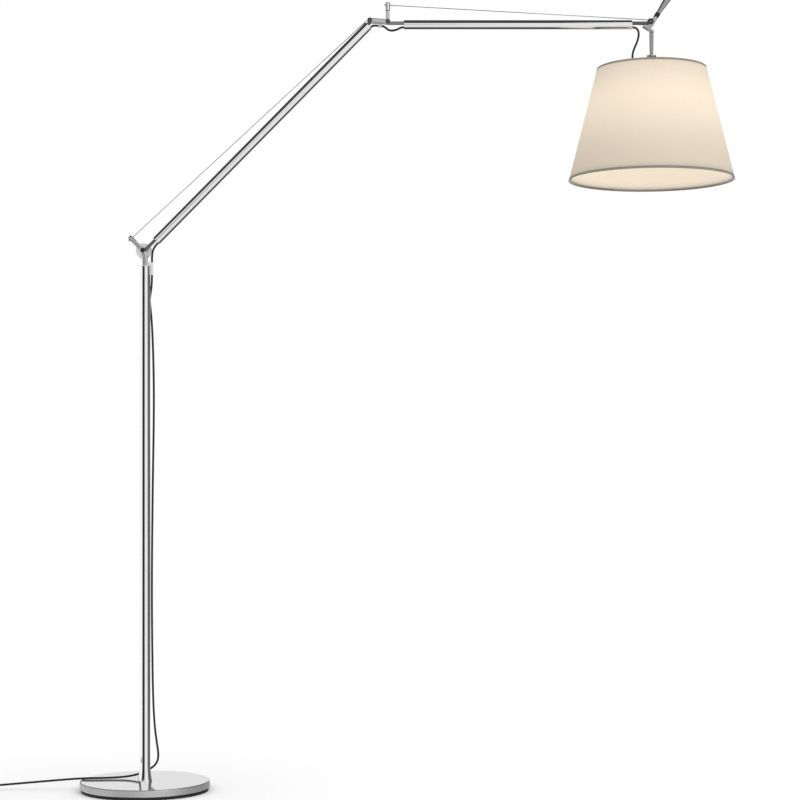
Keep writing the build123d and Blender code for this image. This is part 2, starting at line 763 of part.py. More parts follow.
# The free cord's route: down beside the post, behind its foot, over the base and out along the floor
hanging_route = [
    (17.5, 0, 1314), (17.5, 0, 1297), (13.6, 12.6, 1274), (8.8, 16.9, 1253), (11.8, 15, 1231),
    (15.2, 11, 1203), (18.4, 9, 1150), (20.6, 8, 1080), (21.4, 8.6, 1010), (20.9, 9.6, 935),
    (19.7, 10, 860), (18.5, 9.6, 785), (17.7, 9, 710), (16.9, 8.6, 635), (16.4, 8.2, 560),
    (16.3, 8.6, 485), (16.6, 9.3, 412), (17.4, 10.1, 342), (18.2, 11.2, 275), (19.8, 12.2, 212),
    (23.2, 13.2, 158), (28, 15, 120), (31.2, 18.4, 97), (31, 23, 78), (24.5, 28.6, 63.5), (13, 32.6, 52.5),
    (-1, 34.1, 44.5), (-16, 33.6, 38.2), (-34, 31, over_base + 4.4), (-56, 26.4, over_base + 1.5),
    (-84, 20.2, over_base + 0.3), (-116, 15.2, over_base), (-150, 12.4, over_base + 0.1),
    (-187, 11.6, 27.5), (-229, 11.2, 24.1), (-275, 11, 20.3), (-322, 10.7, 16.3), (-362, 10.4, 12.9),
    (-399, 10, 10.2), (-411, 3, 9.4), (-418, -9, 9), (-418, -41, 9),
]
switch_cord_route = [(-418, -103, 9), (-418, -131, 9), (-418.2, -141.5, 7.7), (-418, -152, 6.8)]
plug_cord_route = [(-480.3, -148, 7.2), (-480, -136, 8.2), (-480, -112, 8.2)]


def free_cords():
    """The mains cord's stretches that aren't coiled, and the outer shape of its coil."""
    section = Rectangle(coil_width, coil_height)
    section = fillet(section.vertices(), coil_edge_radius)
    coil = revolve(Plane.XZ * Pos(coil_radius, coil_height / 2) * section, Axis.Z)
    return {
        "mains_cord": cord_tube("mains_cord", hanging_route),
        "switch_cord": cord_tube("switch_cord", switch_cord_route),
        "plug_cord": cord_tube("plug_cord", plug_cord_route),
        "cord_coil": Pos(*coil_at) * coil,
    }


def switch_parts():
    """The foot switch: two shells around a sprung button, with the cord through its split line."""
    frame = Pos(*switch_at)

    def shell(bottom, top):
        """A round-cornered block of the switch's outline."""
        return fillet(block(switch_width, switch_length, bottom, top).edges().filter_by(Axis.Z),
                      switch_corner_radius)

    room = block(switch_width - 2 * switch_wall, switch_length - 2 * switch_wall,
                 switch_wall, switch_height - switch_wall)
    cord_way = Pos(0, 0, switch_split) * along_y(cord_hole, -switch_length, switch_length)
    bottom_shell = shell(0, switch_split) - room - cord_way
    button_radius = button_diameter / 2
    top_shell = shell(switch_split, switch_height) - room - cord_way
    top_shell -= upright(button_radius + side_gap, switch_split, switch_height)
    flange_top = switch_height - switch_wall - side_gap
    flange_bottom = flange_top - button_flange_thickness
    button = upright(button_radius, flange_bottom, switch_height + button_proud)
    button = fillet(button.edges().group_by(Axis.Z)[-1], cap_edge_radius)
    button += upright(button_flange / 2, flange_bottom, flange_top)
    spring_room = flange_bottom - switch_wall - 2 * spring_seat_gap
    pitch = (spring_room - switch_spring_wire) / switch_spring_turns
    spring = coil_spring(switch_spring_diameter, switch_spring_wire, pitch, switch_spring_turns)
    return {
        "switch_base": frame * bottom_shell,
        "switch_cover": frame * top_shell,
        "switch_button": frame * button,
        "switch_spring": frame * Pos(0, 0, switch_wall + spring_seat_gap) * spring,
    }


def strain_relief(mouth, turn):
    """A tapered sleeve that leaves a housing's end face along -Y, or along +Y when it is turned."""
    taper = Rot(90, 0, 0) * Cone(relief_diameter / 2, relief_tip_diameter / 2, relief_length)
    sleeve = Pos(0, -relief_length / 2, 0) * taper - along_y(cord_hole, -relief_length, 0)
    return Pos(*mouth) * Rot(0, 0, turn) * Pos(0, -running_clearance, 0) * sleeve


def plug_parts():
    """The two-pin plug at the cord's end, and the strain reliefs of the plug and the switch."""
    plug_middle = plug_lift + plug_height / 2
    frame = Pos(plug_at[0], plug_at[1], plug_middle)
    half = plug_length_y / 2
    switch_x, switch_y = switch_at
    reliefs = [
        strain_relief((switch_x, switch_y + switch_length / 2, switch_split), 180),
        strain_relief((switch_x, switch_y - switch_length / 2, switch_split), 0),
        strain_relief((plug_at[0], plug_at[1] - half, plug_middle), 0),
    ]
    body = fillet(Box(plug_width, plug_length_y, plug_height).edges().filter_by(Axis.Y), plug_edge_radius)
    pins = []
    for side in (-1, 1):
        at = Pos(side * plug_pin_spacing / 2, 0, 0)
        pins.append(at * along_y(plug_pin_diameter / 2, half - plug_pin_root, half + plug_pin_length))
        body -= at * along_y(plug_pin_diameter / 2 + running_clearance, half - plug_pin_root, half)
    return {
        "mains_plug": frame * body,
        "plug_pins": group(*[frame * pin for pin in pins]),
        "strain_reliefs": group(*reliefs),
    }


nodes = {}
nodes.update(base_parts())
nodes.update(post_parts())
nodes.update(swivel_parts())
nodes.update(arm_parts("lower", lower_pivot_at, lower_arm_angle, lower_arm_length, lower_tip_gap))
nodes.update(elbow_parts())
nodes.update(arm_parts("upper", upper_pivot_at, upper_arm_angle, upper_arm_length, upper_tip_gap))
nodes.update(head_parts())
nodes.update(lampholder_parts())
nodes.update(shade_parts())
nodes.update(joint_cords())
nodes.update(free_cords())
nodes.update(switch_parts())
nodes.update(plug_parts())

os.makedirs("parts", exist_ok=True)
for name, shape in nodes.items():
    export_step(shape, f"parts/{name}.step")
print(len(nodes), "nodes")
print("lower pivot", lower_pivot_at, "elbow", elbow_at, "upper pivot", upper_pivot_at, "head", head_at)
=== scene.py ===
"""An adjustable arm floor lamp: its fabric shade, wires, cords and finishes on the lamp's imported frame."""

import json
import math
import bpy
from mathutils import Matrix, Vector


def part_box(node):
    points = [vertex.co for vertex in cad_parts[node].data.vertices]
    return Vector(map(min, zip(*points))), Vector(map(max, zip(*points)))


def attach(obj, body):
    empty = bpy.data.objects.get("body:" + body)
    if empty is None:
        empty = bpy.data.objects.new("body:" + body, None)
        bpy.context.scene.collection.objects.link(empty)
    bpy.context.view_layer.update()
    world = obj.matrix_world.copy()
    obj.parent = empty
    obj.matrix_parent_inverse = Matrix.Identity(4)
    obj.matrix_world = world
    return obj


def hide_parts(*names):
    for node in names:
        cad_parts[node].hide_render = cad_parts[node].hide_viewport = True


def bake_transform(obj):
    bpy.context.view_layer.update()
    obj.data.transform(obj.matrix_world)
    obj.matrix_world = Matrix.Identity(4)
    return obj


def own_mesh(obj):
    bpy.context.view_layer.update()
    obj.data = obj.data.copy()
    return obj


bl_info = {
    "name": "Adjustable Arm Floor Lamp",
    "version": (1, 0, 0),
    "blender": (4, 5, 0),
    "location": "View3D > Sidebar > Lamp",
    "description": "Builds the shade, wires, cords and finishes of a balanced-arm floor lamp",
    "category": "Add Mesh",
}

import bmesh
import bpy
from bpy.props import FloatProperty, FloatVectorProperty, PointerProperty
from bpy.types import NodeSocket, Operator, Panel, PropertyGroup
from mathutils import Matrix, Vector

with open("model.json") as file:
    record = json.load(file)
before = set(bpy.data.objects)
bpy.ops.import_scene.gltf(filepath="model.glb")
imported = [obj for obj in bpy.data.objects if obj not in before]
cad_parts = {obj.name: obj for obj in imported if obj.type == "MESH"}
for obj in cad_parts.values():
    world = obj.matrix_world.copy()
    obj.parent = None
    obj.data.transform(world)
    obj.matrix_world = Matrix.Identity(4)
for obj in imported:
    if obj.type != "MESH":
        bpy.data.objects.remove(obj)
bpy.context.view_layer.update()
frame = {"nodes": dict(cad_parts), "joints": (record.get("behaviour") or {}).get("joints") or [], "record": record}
NODES = frame["nodes"]
SLOT_OF = {part["node"]: part["material_slot"] for part in frame["record"]["subparts"]}
PIVOT = {joint["name"]: Vector(joint["pos_m"]) for joint in frame["joints"] if "pos_m" in joint}

LOWER_PIVOT = PIVOT["lower_arm_tilt"]
ELBOW = PIVOT["elbow_tilt"]
UPPER_PIVOT = PIVOT["upper_arm_tilt"]
HEAD = PIVOT["head_tilt"]
LOWER_ANGLE = math.radians(45.4)
LINK_ANGLE = math.radians(-4.35)
LOWER_LENGTH = (ELBOW - LOWER_PIVOT).length
UPPER_LENGTH = (HEAD - UPPER_PIVOT).length

# Where the tubes start and end along their arms, the lines that the cord follows under them, its clips at
# the post's top and on the link, and where it enters the lampholder's cup
ROOT_GAP = 0.041
LOWER_TUBE_END = LOWER_LENGTH - 0.012
UPPER_TUBE_END = UPPER_LENGTH - 0.047
CORD_DROP = -0.0135
LINK_CORD_DROP = -0.0114
CLIP_HEIGHT = 0.032
LINK_CLIP_LEAD = 0.013
LINK_CLIP_END = 0.031
LINK_CLIP_PAST = 0.038
CUP_ENTRY_RADIUS = 0.0193
CUP_ENTRY_DROP = 0.032

# The balance wires: their line above the arm, their turn round the roller, their stop and their spring; then
# the bare end of a pivot's pin
WIRE_HEIGHT = 0.043
ROLLER_RADIUS = 0.0052
LEVER_RADIUS = 0.0055
STOP_BEHIND = 0.0028
STOP_RADIUS = 0.0021
STOP_PAST_END = 0.0004
STOP_ON_WIRE = 0.0026
SPRING_END = ROOT_GAP + 0.025 + 0.1941
PIN_END_RADIUS = 0.0012

SHADE_LOW, SHADE_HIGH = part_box("shade")
SHADE_X = (SHADE_LOW[0] + SHADE_HIGH[0]) / 2
SHADE_BOTTOM = SHADE_LOW[2]
SHADE_TOP = SHADE_HIGH[2]
SHADE_BOTTOM_RADIUS = (SHADE_HIGH[0] - SHADE_LOW[0]) / 2
SHADE_TOP_RADIUS = 0.138
SHADE_ROWS = 12
SHADE_STEPS = 128
TRIM_PROUD = 0.0005

# The painted glow that stands for lamplight through the cloth, by the share of the shade's height, and the
# painted glow on the lining; the cloth's threads as the turns of a sine; the depths of bumps
PAINTED_GLOW_LEVELS = ((0.0, 0.06), (0.33, 0.18), (0.64, 0.33), (0.84, 0.27), (1.0, 0.16))
PAINTED_LINING_GLOW = (1.0, 0.88, 0.70, 1)
THREADS_ROUND = 1240.0
THREADS_UP = 6800.0
WEAVE_DEPTH = 0.0003
GRAIN_DEPTH = 0.0002

# The hanging cord's route in metres: down beside the post, behind its foot, over the base, along the floor
HANGING_ROUTE = [
    (0.0175, 0, 1.314), (0.0175, 0, 1.297), (0.0136, 0.0126, 1.274), (0.0088, 0.0169, 1.253),
    (0.0118, 0.015, 1.231), (0.0152, 0.011, 1.203), (0.0184, 0.009, 1.15), (0.0206, 0.008, 1.08),
    (0.0214, 0.0086, 1.01), (0.0209, 0.0096, 0.935), (0.0197, 0.01, 0.86), (0.0185, 0.0096, 0.785),
    (0.0177, 0.009, 0.71), (0.0169, 0.0086, 0.635), (0.0164, 0.0082, 0.56), (0.0163, 0.0086, 0.485),
    (0.0166, 0.0093, 0.412), (0.0174, 0.0101, 0.342), (0.0182, 0.0112, 0.275), (0.0198, 0.0122, 0.212),
    (0.0232, 0.0132, 0.158), (0.028, 0.015, 0.12), (0.0312, 0.0184, 0.097), (0.031, 0.023, 0.078),
    (0.0245, 0.0286, 0.0635), (0.013, 0.0326, 0.0525), (-0.001, 0.0341, 0.0445), (-0.016, 0.0336, 0.0382),
    (-0.034, 0.031, 0.0336), (-0.056, 0.0264, 0.0307), (-0.084, 0.0202, 0.0295), (-0.116, 0.0152, 0.0292),
    (-0.15, 0.0124, 0.0293), (-0.187, 0.0116, 0.0275), (-0.229, 0.0112, 0.0241), (-0.275, 0.011, 0.0203),
    (-0.322, 0.0107, 0.0163), (-0.362, 0.0104, 0.0129), (-0.399, 0.01, 0.0102), (-0.411, 0.003, 0.0094),
    (-0.418, -0.009, 0.009), (-0.418, -0.041, 0.009),
]
# The cord's route from the foot switch towards the coil, and from the coil to the plug
SWITCH_ROUTE = [(-0.418, -0.103, 0.009), (-0.418, -0.131, 0.009), (-0.4182, -0.1415, 0.0077)]
PLUG_ROUTE = [(-0.4803, -0.148, 0.0072), (-0.48, -0.136, 0.0082), (-0.48, -0.112, 0.0082)]

# The coil: its centre, each turn's (radius, height) and the share of the turn that keeps to it; then the
# strap round its turns
COIL_CENTRE = Vector((-0.449, -0.167, 0))
COIL_LANES = [(0.0365, 0.0030), (0.0308, 0.0030), (0.0252, 0.0030), (0.0280, 0.0078), (0.0336, 0.0078),
              (0.0366, 0.0108), (0.0308, 0.0108)]
LANE_HELD = 0.7
STRAP_INSIDE = (0.0220, 0.0014)
STRAP_OUTSIDE = (0.0400, 0.0142)
STRAP_CORNER = 0.004
STRAP_WIDTH = 0.009
STRAP_THICKNESS = 0.0007

# The handle's frame on the head, and its outline in that frame
HANDLE_PLACE = (Matrix.Translation(HEAD) @ Matrix.Rotation(math.radians(33), 4, "Y")
                @ Matrix.Translation((0.005, 0, 0)))
HANDLE_STUD = 0.009
STUD_RADIUS = 0.0025
HANDLE_START = 0.030
HANDLE_END = 0.105
HANDLE_NECK = 0.00525
HANDLE_SWELL = 0.01025
HANDLE_BELLY = 0.24
HANDLE_ROUND = 0.006

# A slot's finish: its name, tone, range of roughness, metalness, grain per metre, spread of tone and bumps
SATIN_BLACK = ("SatinBlack", "black", (0.28, 0.42), 0.0, 1600.0, 0.2, 0.12)
PLAIN_PLASTIC = ("PlainPlastic", "plain", (0.35, 0.5), 0.0, 1500.0, 0.06)
SLOT_FINISHES = {
    "polished": ("PolishedAluminium", "polished", (0.03, 0.09), 1.0, 260.0, 0.05),
    "steel": ("PlainSteel", "steel", (0.25, 0.45), 1.0, 1200.0, 0.15),
    "wire": ("DrawnSteelWire", "wire", (0.22, 0.4), 1.0, 2400.0, 0.2),
    "black_metal": SATIN_BLACK,
    "black_plastic": SATIN_BLACK,
    "black_rubber": ("MattRubber", "black", (0.6, 0.8), 0.0, 1800.0, 0.3, 0.2),
    "cord": ("CordSheath", "cord", (0.38, 0.55), 0.0, 1400.0, 0.25, 0.15),
    "pale_plastic": ("PalePlastic", "pale", (0.22, 0.34), 0.0, 1500.0, 0.06, 0.06),
    "bearing": PLAIN_PLASTIC,
    "porcelain": PLAIN_PLASTIC,
    "bulb_cap": ("PlatedBrass", "brass", (0.18, 0.32), 1.0, 1500.0, 0.1),
}

# Nodes that are worked differently from their slot: the finish's name, tone, roughness and rounding of edges
WORKED_FINISHES = (
    (("lower_tip_plug", "upper_tip_plug"), "DarkTang", "tang", (0.2, 0.3), 0.003),
    (("elbow_plates", "lower_lever", "upper_lever"), "CastJoint", "joint", (0.14, 0.24), 0.004),
    (("lower_root_plug", "upper_root_plug"), "RootPlug", "plug", (0.14, 0.24), 0.004),
    (("swivel_fork",), "SatinJoint", "fork", (0.26, 0.34), 0.003),
    (("head_fork",), "SatinHead", "head", (0.18, 0.28), 0.003),
    (("lampholder_cup",), "DarkCup", "cup", (0.2, 0.32), 0.002),
)

# Studio cards in the reflections, as (degrees, level): round the lamp's sides, up and down in front of it,
# up and down behind it, and how far up and down the first ones reach; then where front turns into back
SIDE_CARDS = ((-180, 0.80), (-120, 1.10), (-60, 1.10), (-50, 0.03), (-5, 0.03), (4, 0.95), (58, 0.95),
              (70, 0.14), (146, 0.14), (156, 0.80))
FRONT_CARDS = ((-90, 0.1), (-82, 0.1), (-74, 0.85), (28, 0.95), (36, 0.05), (90, 0.05))
BACK_CARDS = ((-90, 0.08), (-26, 0.08), (-18, 0.8), (9.6, 0.8), (12, 0.06), (90, 0.05))
SIDE_REACH = ((-14, 0.0), (-10, 1.0), (10.2, 1.0), (12, 0.0))
FRONT_TO_BACK = (-0.34, -0.20)
EVEN_LIGHT = 0.92
WHITE = (1, 1, 1, 1)


def length_setting(name, description, default):
    """A size that a user may change."""
    return FloatProperty(name=name, description=description, default=default, unit="LENGTH")


def colour_setting(name, description, default):
    """A colour that a user may change."""
    return FloatVectorProperty(name=name, description=description, default=default, subtype="COLOR")


class LampSizes(PropertyGroup):
    """Sizes that a user may change."""

    cord_diameter: length_setting("Cord diameter", "Across the black cord", 0.0055)
    wire_diameter: length_setting("Wire diameter", "Across a balance wire", 0.0018)
    cloth_thickness: length_setting("Cloth thickness", "The shade's fabric with its stiff lining", 0.0011)
    top_trim: length_setting("Top trim", "Height of the band round the shade's top", 0.0045)
    bottom_trim: length_setting("Bottom trim", "Height of the band round the shade's foot", 0.0055)


class LampColours(PropertyGroup):
    """Colours that a user may change."""

    polished: colour_setting("Polished aluminium", "Tubes, post and base", (0.86, 0.86, 0.87))
    steel: colour_setting("Plain steel", "Fasteners, springs and rings", (0.55, 0.55, 0.57))
    wire: colour_setting("Wire", "The drawn steel of the balance wires", (0.42, 0.42, 0.43))
    black: colour_setting("Black parts", "Pivot caps, ring and plastics", (0.012, 0.012, 0.013))
    cord: colour_setting("Cord", "The cord's sheath", (0.014, 0.014, 0.015))
    pale: colour_setting("Pale plastic", "Cord clips", (0.74, 0.74, 0.74))
    plain: colour_setting("Plain plastic", "Bush and lampholder", (0.72, 0.71, 0.68))
    brass: colour_setting("Plated brass", "The bulb's cap", (0.62, 0.58, 0.48))
    glass: colour_setting("Bulb glass", "The frosted bulb", (0.95, 0.93, 0.88))
    knob: colour_setting("Tension knob", "The disc behind the lower pivot", (0.95, 0.95, 0.95))
    joint: colour_setting("Joint metal", "Levers and link plates", (0.60, 0.60, 0.61))
    plug: colour_setting("Root plugs", "The plugs where the arms begin", (0.28, 0.28, 0.29))
    fork: colour_setting("Swivel fork", "The fork on the post's top", (0.70, 0.70, 0.71))
    tang: colour_setting("Tip plugs", "The dark ends of the arms", (0.12, 0.12, 0.12))
    head: colour_setting("Head metal", "The shade's fork, stem and handle", (0.40, 0.40, 0.41))
    cup: colour_setting("Lampholder cup", "The cup under the stem", (0.20, 0.20, 0.20))
    lining: colour_setting("Shade lining", "The inside of the shade", (0.64, 0.58, 0.50))
    cloth: colour_setting("Shade cloth", "The shade's woven fabric", (0.62, 0.535, 0.435))
    # The glow colour tints the bulb's own light and the painted glow on the shade's cloth
    glow: colour_setting("Glow", "Lamplight that comes through the cloth", (1.0, 0.86, 0.66))
    top_trim: colour_setting("Top trim", "Band round the shade's top", (0.36, 0.32, 0.26))
    bottom_trim: colour_setting("Bottom trim", "Band round the shade's foot", (0.31, 0.29, 0.245))


def sizes():
    """The lamp's sizes."""
    return bpy.context.scene.lamp_sizes


def colours():
    """The lamp's colours."""
    return bpy.context.scene.lamp_colours


def arm_point(pivot, angle, along, up=0.0):
    """The point so far along an arm from its pivot, and so far up from its pivot line."""
    across = Vector((-math.sin(angle), 0, math.cos(angle)))
    return pivot + Vector((math.cos(angle), 0, math.sin(angle))) * along + across * up


def new_piece(name, mesh):
    """Puts a finished mesh in the scene as a piece."""
    piece = bpy.data.objects.new(name, mesh)
    bpy.context.scene.collection.objects.link(piece)
    return piece


def mesh_from(bm, name, smooth=True):
    """Closes a bmesh into a mesh with its faces outwards."""
    bmesh.ops.remove_doubles(bm, verts=bm.verts, dist=1e-6)
    bmesh.ops.recalc_face_normals(bm, faces=bm.faces)
    mesh = bpy.data.meshes.new(name)
    bm.to_mesh(mesh)
    bm.free()
    for face in mesh.polygons:
        face.use_smooth = smooth
    return mesh


def turned_mesh(name, outline, centre, steps, closed=True, place=None):
    """A piece turned about an upright axis from (radius, height) points, then put in its place."""
    bm = bmesh.new()
    verts = [bm.verts.new((centre[0] + radius, centre[1], height)) for radius, height in outline]
    edges = [bm.edges.new(ends) for ends in zip(verts, verts[1:])]
    if closed:
        edges.append(bm.edges.new((verts[-1], verts[0])))
    bmesh.ops.spin(bm, geom=verts + edges, cent=(centre[0], centre[1], 0), axis=(0, 0, 1),
                   angle=2 * math.pi, steps=steps, use_merge=True, dvec=(0, 0, 0))
    if place:
        bmesh.ops.transform(bm, matrix=place, verts=bm.verts)
    return mesh_from(bm, name)


def strap_mesh(name, place):
    """The coil's flat strap, wound round a rounded box with its end overlapping its start."""
    near, low = (value + STRAP_CORNER for value in STRAP_INSIDE)
    far, high = (value - STRAP_CORNER for value in STRAP_OUTSIDE)
    bends = 6
    loop = []
    for x, z, first in ((far, high, 0), (near, high, 90), (near, low, 180), (far, low, 270)):
        for step in range(bends + 1):
            turn = math.radians(first + 90 * step / bends)
            out = Vector((math.cos(turn), 0, math.sin(turn)))
            loop.append((Vector((x, 0, z)) + out * STRAP_CORNER, out))
    bm = bmesh.new()
    rings = []
    for step in range(len(loop) * 5 // 4):
        point, out = loop[step % len(loop)]
        under = point + out * STRAP_THICKNESS * 1.1 * step / len(loop)
        corners = [under + out * STRAP_THICKNESS * lift + Vector((0, STRAP_WIDTH * side, 0))
                   for lift, side in ((0, -0.5), (0, 0.5), (1, 0.5), (1, -0.5))]
        rings.append([bm.verts.new(corner) for corner in corners])
    for ring, following in zip(rings, rings[1:]):
        for edge in range(4):
            bm.faces.new((ring[edge], ring[edge - 1], following[edge - 1], following[edge]))
    bm.faces.new(rings[0])
    bm.faces.new(rings[-1])
    bmesh.ops.transform(bm, matrix=place, verts=bm.verts)
    return mesh_from(bm, name, False)


def rod_mesh(name, start, end, radius, segments=12):
    """A straight rod with only its two end rings."""
    run = end - start
    place = Matrix.Translation((start + end) / 2) @ run.to_track_quat("Z", "Y").to_matrix().to_4x4()
    bm = bmesh.new()
    bmesh.ops.create_cone(bm, cap_ends=True, segments=segments, radius1=radius, radius2=radius,
                          depth=run.length, matrix=place)
    return mesh_from(bm, name)


def route_curve(name, points, depth, kind, resolution):
    """A smooth curve along a route's points."""
    curve = bpy.data.curves.new(name, "CURVE")
    curve.dimensions = "3D"
    spline = curve.splines.new(kind)
    spline.points.add(len(points) - 1)
    for control, point in zip(spline.points, points):
        control.co = (*point, 1)
    if kind == "NURBS":
        spline.order_u = 3
        spline.use_endpoint_u = True
        spline.resolution_u = resolution
    curve.bevel_depth = depth
    curve.bevel_resolution = 3
    curve.use_fill_caps = True
    return bpy.data.objects.new(name, curve)


def evaluated_mesh(curve_object):
    """The mesh that a curve makes; the curve itself is then removed."""
    bpy.context.scene.collection.objects.link(curve_object)
    bpy.context.view_layer.update()
    depsgraph = bpy.context.evaluated_depsgraph_get()
    mesh = bpy.data.meshes.new_from_object(curve_object.evaluated_get(depsgraph))
    curve = curve_object.data
    bpy.data.objects.remove(curve_object)
    bpy.data.curves.remove(curve)
    return mesh


def tube_piece(name, points, diameter, kind="NURBS", resolution=6):
    """A round tube along a route, as a mesh, with the line that it follows."""
    centre = evaluated_mesh(route_curve(name + "_line", points, 0.0, kind, resolution))
    path = [vert.co.copy() for vert in centre.vertices]
    bpy.data.meshes.remove(centre)
    mesh = evaluated_mesh(route_curve(name, points, diameter / 2, kind, resolution))
    mesh.name = name
    for face in mesh.polygons:
        face.use_smooth = True
    return new_piece(name, mesh), path


def feed(tree, socket, value):
    """Links an output to an input, or sets a number or a colour on it."""
    if isinstance(value, NodeSocket):
        tree.links.new(value, socket)
    else:
        socket.default_value = value


def add_node(tree, kind, values=(), operation=None):
    """A new node, whose inputs, in their order or by name, take values or other nodes' outputs."""
    node = tree.nodes.new("ShaderNode" + kind)
    if operation:
        node.operation = operation
    pairs = values.items() if isinstance(values, dict) else enumerate(values)
    for key, value in pairs:
        feed(tree, node.inputs[key], value)
    return node


def maths(tree, operation, *values):
    """The result of one step of arithmetic."""
    return add_node(tree, "Math", values, operation).outputs["Value"]


def map_range(tree, value, limits, low=0.0, high=1.0):
    """A value mapped from its limits to a low and a high result."""
    values = {"Value": value, "From Min": limits[0], "From Max": limits[1], "To Min": low, "To Max": high}
    return add_node(tree, "MapRange", values).outputs["Result"]


def scaled(tree, vector, scale):
    """A colour or a vector made larger or smaller."""
    return add_node(tree, "VectorMath", {0: vector, "Scale": scale}, "SCALE").outputs["Vector"]


def object_place(tree):
    """A point's place on its object."""
    return add_node(tree, "TexCoord").outputs["Object"]


def bumped(tree, height, strength, depth):
    """A surface's direction, turned by fine bumps of a depth."""
    values = {"Strength": strength, "Distance": depth, "Height": height}
    return add_node(tree, "Bump", values).outputs["Normal"]


def mixed_colour(tree, share, first, second):
    """A mix of two colours."""
    node = tree.nodes.new("ShaderNodeMix")
    node.data_type = "RGBA"
    inputs = {socket.identifier: socket for socket in node.inputs}
    for key, value in (("Factor_Float", share), ("A_Color", first), ("B_Color", second)):
        feed(tree, inputs[key], value)
    return next(socket for socket in node.outputs if socket.identifier == "Result_Color")


def colour_ramp(tree, value, stops, interpolation="LINEAR"):
    """A ramp through stops of (position, colour)."""
    node = add_node(tree, "ValToRGB", (value,))
    node.color_ramp.interpolation = interpolation
    elements = node.color_ramp.elements
    while len(elements) < len(stops):
        elements.new(0.5)
    for element, (position, tone) in zip(elements, stops):
        element.position = position
        element.color = (*tone, 1)
    return node.outputs["Color"]


def node_tree(name):
    """A material with an empty node tree, its shader and its output."""
    material = bpy.data.materials.new(name)
    material.use_nodes = True
    tree = material.node_tree
    tree.nodes.clear()
    shader = add_node(tree, "BsdfPrincipled")
    add_node(tree, "OutputMaterial", {"Surface": shader.outputs["BSDF"]})
    return material, tree, shader


def shader_of(material):
    """A material's shader."""
    return next(node for node in material.node_tree.nodes if node.type == "BSDF_PRINCIPLED")


def surface_grain():
    """A node group: fine uneven grain for a surface, as its colour, its roughness and its height."""
    name = "SurfaceGrain"
    if name in bpy.data.node_groups:
        return bpy.data.node_groups[name]
    tree = bpy.data.node_groups.new(name, "ShaderNodeTree")
    sockets = (
        ("Scale", "INPUT", "Float"), ("Stretch", "INPUT", "Vector"), ("Tone", "INPUT", "Color"),
        ("Spread", "INPUT", "Float"), ("Rough low", "INPUT", "Float"), ("Rough high", "INPUT", "Float"),
        ("Colour", "OUTPUT", "Color"), ("Roughness", "OUTPUT", "Float"), ("Height", "OUTPUT", "Float"),
    )
    for socket, way, kind in sockets:
        tree.interface.new_socket(socket, in_out=way, socket_type="NodeSocket" + kind)
    given = tree.nodes.new("NodeGroupInput").outputs
    made = tree.nodes.new("NodeGroupOutput").inputs
    place = object_place(tree)
    stretched = add_node(tree, "VectorMath", (place, given["Stretch"]), "MULTIPLY").outputs["Vector"]
    fine = add_node(tree, "TexNoise", {"Vector": stretched, "Scale": given["Scale"], "Detail": 4})
    broad = add_node(tree, "TexNoise", {"Vector": place, "Scale": 14, "Detail": 2})
    rough = map_range(tree, fine.outputs["Fac"], (0.0, 1.0), given["Rough low"], given["Rough high"])
    tone = map_range(tree, broad.outputs["Fac"], (0.0, 1.0), maths(tree, "SUBTRACT", 1.0, given["Spread"]))
    feed(tree, made["Colour"], scaled(tree, given["Tone"], tone))
    feed(tree, made["Roughness"], rough)
    feed(tree, made["Height"], fine.outputs["Fac"])
    return tree


def grained_material(name, tone, rough, metallic=0.0, scale=900.0, spread=0.08, bump=0.0, specular=0.5,
                     stretch=(1, 1, 1)):
    """A finish whose colour, roughness and fine bumps vary over the surface."""
    if name in bpy.data.materials:
        return bpy.data.materials[name]
    material, tree, shader = node_tree(name)
    grain = tree.nodes.new("ShaderNodeGroup")
    grain.node_tree = surface_grain()
    values = {"Scale": scale, "Stretch": stretch, "Tone": (*tone, 1), "Spread": spread,
              "Rough low": rough[0], "Rough high": rough[1]}
    for key, value in values.items():
        feed(tree, grain.inputs[key], value)
    shader.inputs["Metallic"].default_value = metallic
    shader.inputs["Specular IOR Level"].default_value = specular
    feed(tree, shader.inputs["Base Color"], grain.outputs["Colour"])
    feed(tree, shader.inputs["Roughness"], grain.outputs["Roughness"])
    if bump:
        feed(tree, shader.inputs["Normal"], bumped(tree, grain.outputs["Height"], bump, GRAIN_DEPTH))
    return material


def soft_edged(name, tone, rough, radius):
    """A metal for small worked pieces, whose edges are polished round."""
    if name in bpy.data.materials:
        return bpy.data.materials[name]
    material = grained_material(name, tone, rough, 1.0, 700.0)
    tree = material.node_tree
    edges = add_node(tree, "Bevel", {"Radius": radius})
    edges.samples = 16
    feed(tree, shader_of(material).inputs["Normal"], edges.outputs["Normal"])
    return material


def base_metal():
    """The base's cover: polished on top, satin and duller round its turned side."""
    name = "TurnedBase"
    if name in bpy.data.materials:
        return bpy.data.materials[name]
    material = grained_material(name, colours().polished, (0.05, 0.1), 0.8, 320.0, 0.05)
    tree = material.node_tree
    inputs = shader_of(material).inputs
    polish = inputs["Roughness"].links[0].from_socket
    tone = inputs["Base Color"].links[0].from_socket
    height = add_node(tree, "SeparateXYZ", (object_place(tree),)).outputs["Z"]
    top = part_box("base_cover")[1][2]
    edge = top - 0.0005
    feed(tree, inputs["Roughness"], map_range(tree, height, (top - 0.0030, edge), 0.5, polish))
    feed(tree, inputs["Base Color"], scaled(tree, tone, map_range(tree, height, (top - 0.0020, edge), 0.68)))
    return material


def finish_for(slot):
    """The finish of a material slot in the record."""
    if slot not in SLOT_FINISHES:
        return bulb_glass()
    name, tone, *surface = SLOT_FINISHES[slot]
    return grained_material(name, getattr(colours(), tone), *surface)


